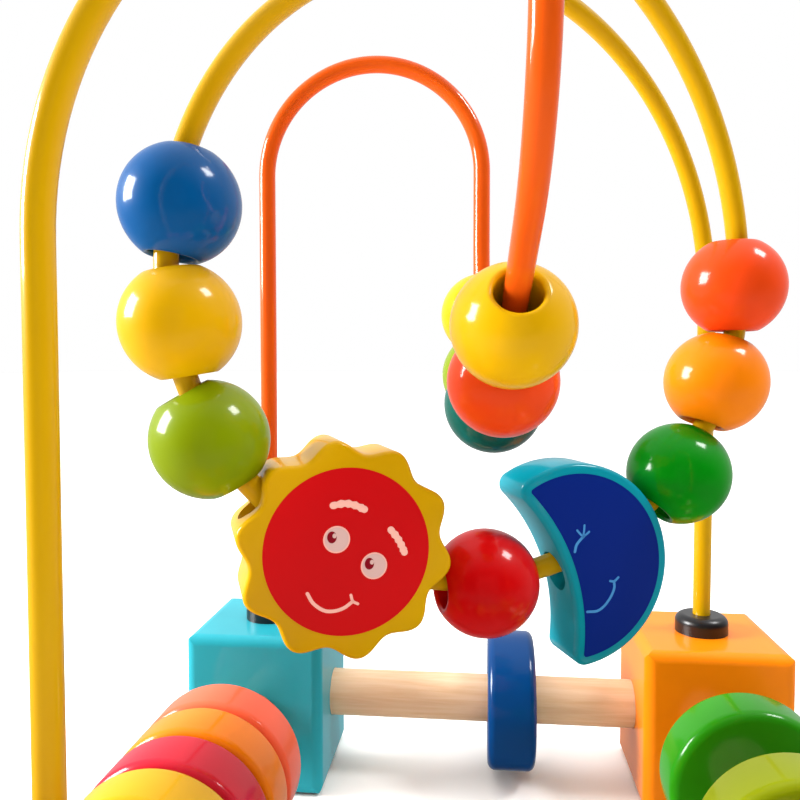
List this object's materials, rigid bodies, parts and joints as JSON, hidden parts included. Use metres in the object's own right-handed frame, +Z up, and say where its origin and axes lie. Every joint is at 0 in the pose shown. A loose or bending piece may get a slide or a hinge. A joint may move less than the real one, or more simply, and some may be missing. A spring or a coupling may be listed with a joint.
{
  "type": "bead maze",
  "caption": "Tabletop bead maze: painted corner blocks joined by dowels with counting discs, bent coated wires above, and wooden beads, a sun and a moon strung on the wires.",
  "frame": {"origin": "middle of the frame on the floor, under the four corner blocks", "axes": "+X to the right along the back dowel, +Y to the back, +Z up"},
  "size_m": [0.149, 0.145, 0.1944],
  "materials": {
    "paint_red": "gloss paint",
    "paint_coral": "gloss paint",
    "paint_crimson": "gloss paint",
    "paint_orange": "gloss paint",
    "paint_yellow": "gloss paint",
    "paint_lime": "gloss paint",
    "paint_green": "gloss paint",
    "paint_teal": "gloss paint",
    "paint_sea": "gloss paint",
    "paint_blue": "gloss paint",
    "bare_wood": "sanded",
    "black_rubber": "satin",
    "yellow_coat": "gloss",
    "orange_coat": "gloss"
  },
  "bodies": {
    "frame": {"block_front_left": "paint_red", "block_front_right": "paint_green", "block_back_left": "paint_teal", "block_back_right": "paint_orange", "dowel_front": "bare_wood", "dowel_back": "bare_wood", "dowel_left": "bare_wood", "dowel_right": "bare_wood", "grommet_front_left": "black_rubber", "grommet_front_right": "black_rubber", "grommet_back_left": "black_rubber", "grommet_back_right": "black_rubber", "yellow_wire": "yellow_coat", "orange_wire": "orange_coat"},
    "bead_blue": {"bead_blue": "paint_blue"},
    "bead_yellow": {"bead_yellow": "paint_yellow"},
    "bead_lime": {"bead_lime": "paint_lime"},
    "sun": {"sun": "paint_yellow"},
    "bead_red": {"bead_red": "paint_red"},
    "moon": {"moon": "paint_teal"},
    "bead_green": {"bead_green": "paint_green"},
    "bead_amber": {"bead_amber": "paint_orange"},
    "bead_coral": {"bead_coral": "paint_coral"},
    "bead_rear_yellow": {"bead_rear_yellow": "paint_yellow"},
    "bead_rear_lime": {"bead_rear_lime": "paint_lime"},
    "bead_teal": {"bead_teal": "paint_sea"},
    "bead_rose": {"bead_rose": "paint_coral"},
    "bead_front_yellow": {"bead_front_yellow": "paint_yellow"},
    "disc_left_coral": {"disc_left_coral": "paint_coral"},
    "disc_left_orange": {"disc_left_orange": "paint_orange"},
    "disc_left_crimson": {"disc_left_crimson": "paint_crimson"},
    "disc_left_yellow": {"disc_left_yellow": "paint_yellow"},
    "disc_right_green": {"disc_right_green": "paint_green"},
    "disc_right_lime": {"disc_right_lime": "paint_lime"},
    "disc_back_blue": {"disc_back_blue": "paint_blue"},
    "disc_front_red": {"disc_front_red": "paint_red"},
    "disc_front_yellow": {"disc_front_yellow": "paint_yellow"},
    "disc_front_green": {"disc_front_green": "paint_green"}
  },
  "joints": [
    {"name": "bead_blue_over_arch", "type": "hinge", "parent": "frame", "child": "bead_blue", "pos_m": [0.00151, 0.01699, 0.125], "axis": [-0.5651, 0.825, 0], "range_deg": [0, 165]},
    {"name": "bead_yellow_spin", "type": "hinge", "parent": "frame", "child": "bead_yellow", "pos_m": [-0.05187, -0.02019, 0.11605], "axis": [0.148, 0.0576, -0.9873], "continuous": true},
    {"name": "bead_lime_spin", "type": "hinge", "parent": "frame", "child": "bead_lime", "pos_m": [-0.04742, -0.01846, 0.09569], "axis": [0.4651, 0.181, -0.8665], "continuous": true},
    {"name": "sun_spin", "type": "hinge", "parent": "frame", "child": "sun", "pos_m": [-0.02592, -0.01009, 0.07591], "axis": [0.8108, 0.3156, -0.4929], "continuous": true},
    {"name": "bead_red_spin", "type": "hinge", "parent": "frame", "child": "bead_red", "pos_m": [0.00096, 0.00037, 0.06628], "axis": [0.9318, 0.3627, 0.0175], "continuous": true},
    {"name": "moon_swing", "type": "hinge", "parent": "frame", "child": "moon", "pos_m": [0.02417, 0.00941, 0.07267], "axis": [0.835, 0.325, 0.444], "range_deg": [-100, 100]},
    {"name": "bead_green_spin", "type": "hinge", "parent": "frame", "child": "bead_green", "pos_m": [0.04101, 0.01596, 0.08611], "axis": [0.617, 0.2402, 0.7494], "continuous": true},
    {"name": "bead_amber_spin", "type": "hinge", "parent": "frame", "child": "bead_amber", "pos_m": [0.04916, 0.01913, 0.10511], "axis": [0.3287, 0.128, 0.9357], "continuous": true},
    {"name": "bead_coral_over_arch", "type": "hinge", "parent": "frame", "child": "bead_coral", "pos_m": [-0.00151, -0.01699, 0.125], "axis": [0.5651, -0.825, 0], "range_deg": [0, 178]},
    {"name": "bead_rear_yellow_climb", "type": "hinge", "parent": "frame", "child": "bead_rear_yellow", "pos_m": [0.00272, 0.01509, 0.141], "axis": [0.9977, 0.068, 0], "range_deg": [0, 25]},
    {"name": "bead_rear_lime_spin", "type": "hinge", "parent": "frame", "child": "bead_rear_lime", "pos_m": [0.0013, 0.03598, 0.10637], "axis": [0.0582, -0.8538, -0.5173], "continuous": true},
    {"name": "bead_teal_spin", "type": "hinge", "parent": "frame", "child": "bead_teal", "pos_m": [0.00267, 0.0158, 0.10054], "axis": [0.068, -0.9975, -0.0175], "continuous": true},
    {"name": "bead_rose_spin", "type": "hinge", "parent": "frame", "child": "bead_rose", "pos_m": [0.00406, -0.00457, 0.10566], "axis": [0.0594, -0.8713, 0.4871], "continuous": true},
    {"name": "bead_front_yellow_climb", "type": "slide", "parent": "frame", "child": "bead_front_yellow", "axis": [0.057, -0.8367, 0.5446], "range_m": [0, 0.014]},
    {"name": "disc_left_coral_slide", "type": "slide", "parent": "frame", "child": "disc_left_coral", "axis": [0, 1, 0], "range_m": [0, 0.01999]},
    {"name": "disc_left_orange_spin", "type": "hinge", "parent": "frame", "child": "disc_left_orange", "pos_m": [-0.057, -0.00129, 0.02], "axis": [0, 1, 0], "continuous": true},
    {"name": "disc_left_crimson_spin", "type": "hinge", "parent": "frame", "child": "disc_left_crimson", "pos_m": [-0.057, -0.01359, 0.02], "axis": [0, 1, 0], "continuous": true},
    {"name": "disc_left_yellow_slide", "type": "slide", "parent": "frame", "child": "disc_left_yellow", "axis": [0, 1, 0], "range_m": [-0.00511, 0]},
    {"name": "disc_right_green_slide", "type": "slide", "parent": "frame", "child": "disc_right_green", "axis": [0, 1, 0], "range_m": [-0.01403, 0.01302]},
    {"name": "disc_right_lime_slide", "type": "slide", "parent": "frame", "child": "disc_right_lime", "axis": [0, 1, 0], "range_m": [-0.02245, 0.01403]},
    {"name": "disc_back_blue_slide", "type": "slide", "parent": "frame", "child": "disc_back_blue", "axis": [1, 0, 0], "range_m": [-0.04104, 0.02496]},
    {"name": "disc_front_red_slide", "type": "slide", "parent": "frame", "child": "disc_front_red", "axis": [1, 0, 0], "range_m": [-0.01444, 0]},
    {"name": "disc_front_yellow_slide", "type": "slide", "parent": "frame", "child": "disc_front_yellow", "axis": [1, 0, 0], "range_m": [0, 0.0106]},
    {"name": "disc_front_green_slide", "type": "slide", "parent": "frame", "child": "disc_front_green", "axis": [1, 0, 0], "range_m": [-0.0106, 0.01615]}
  ]
}
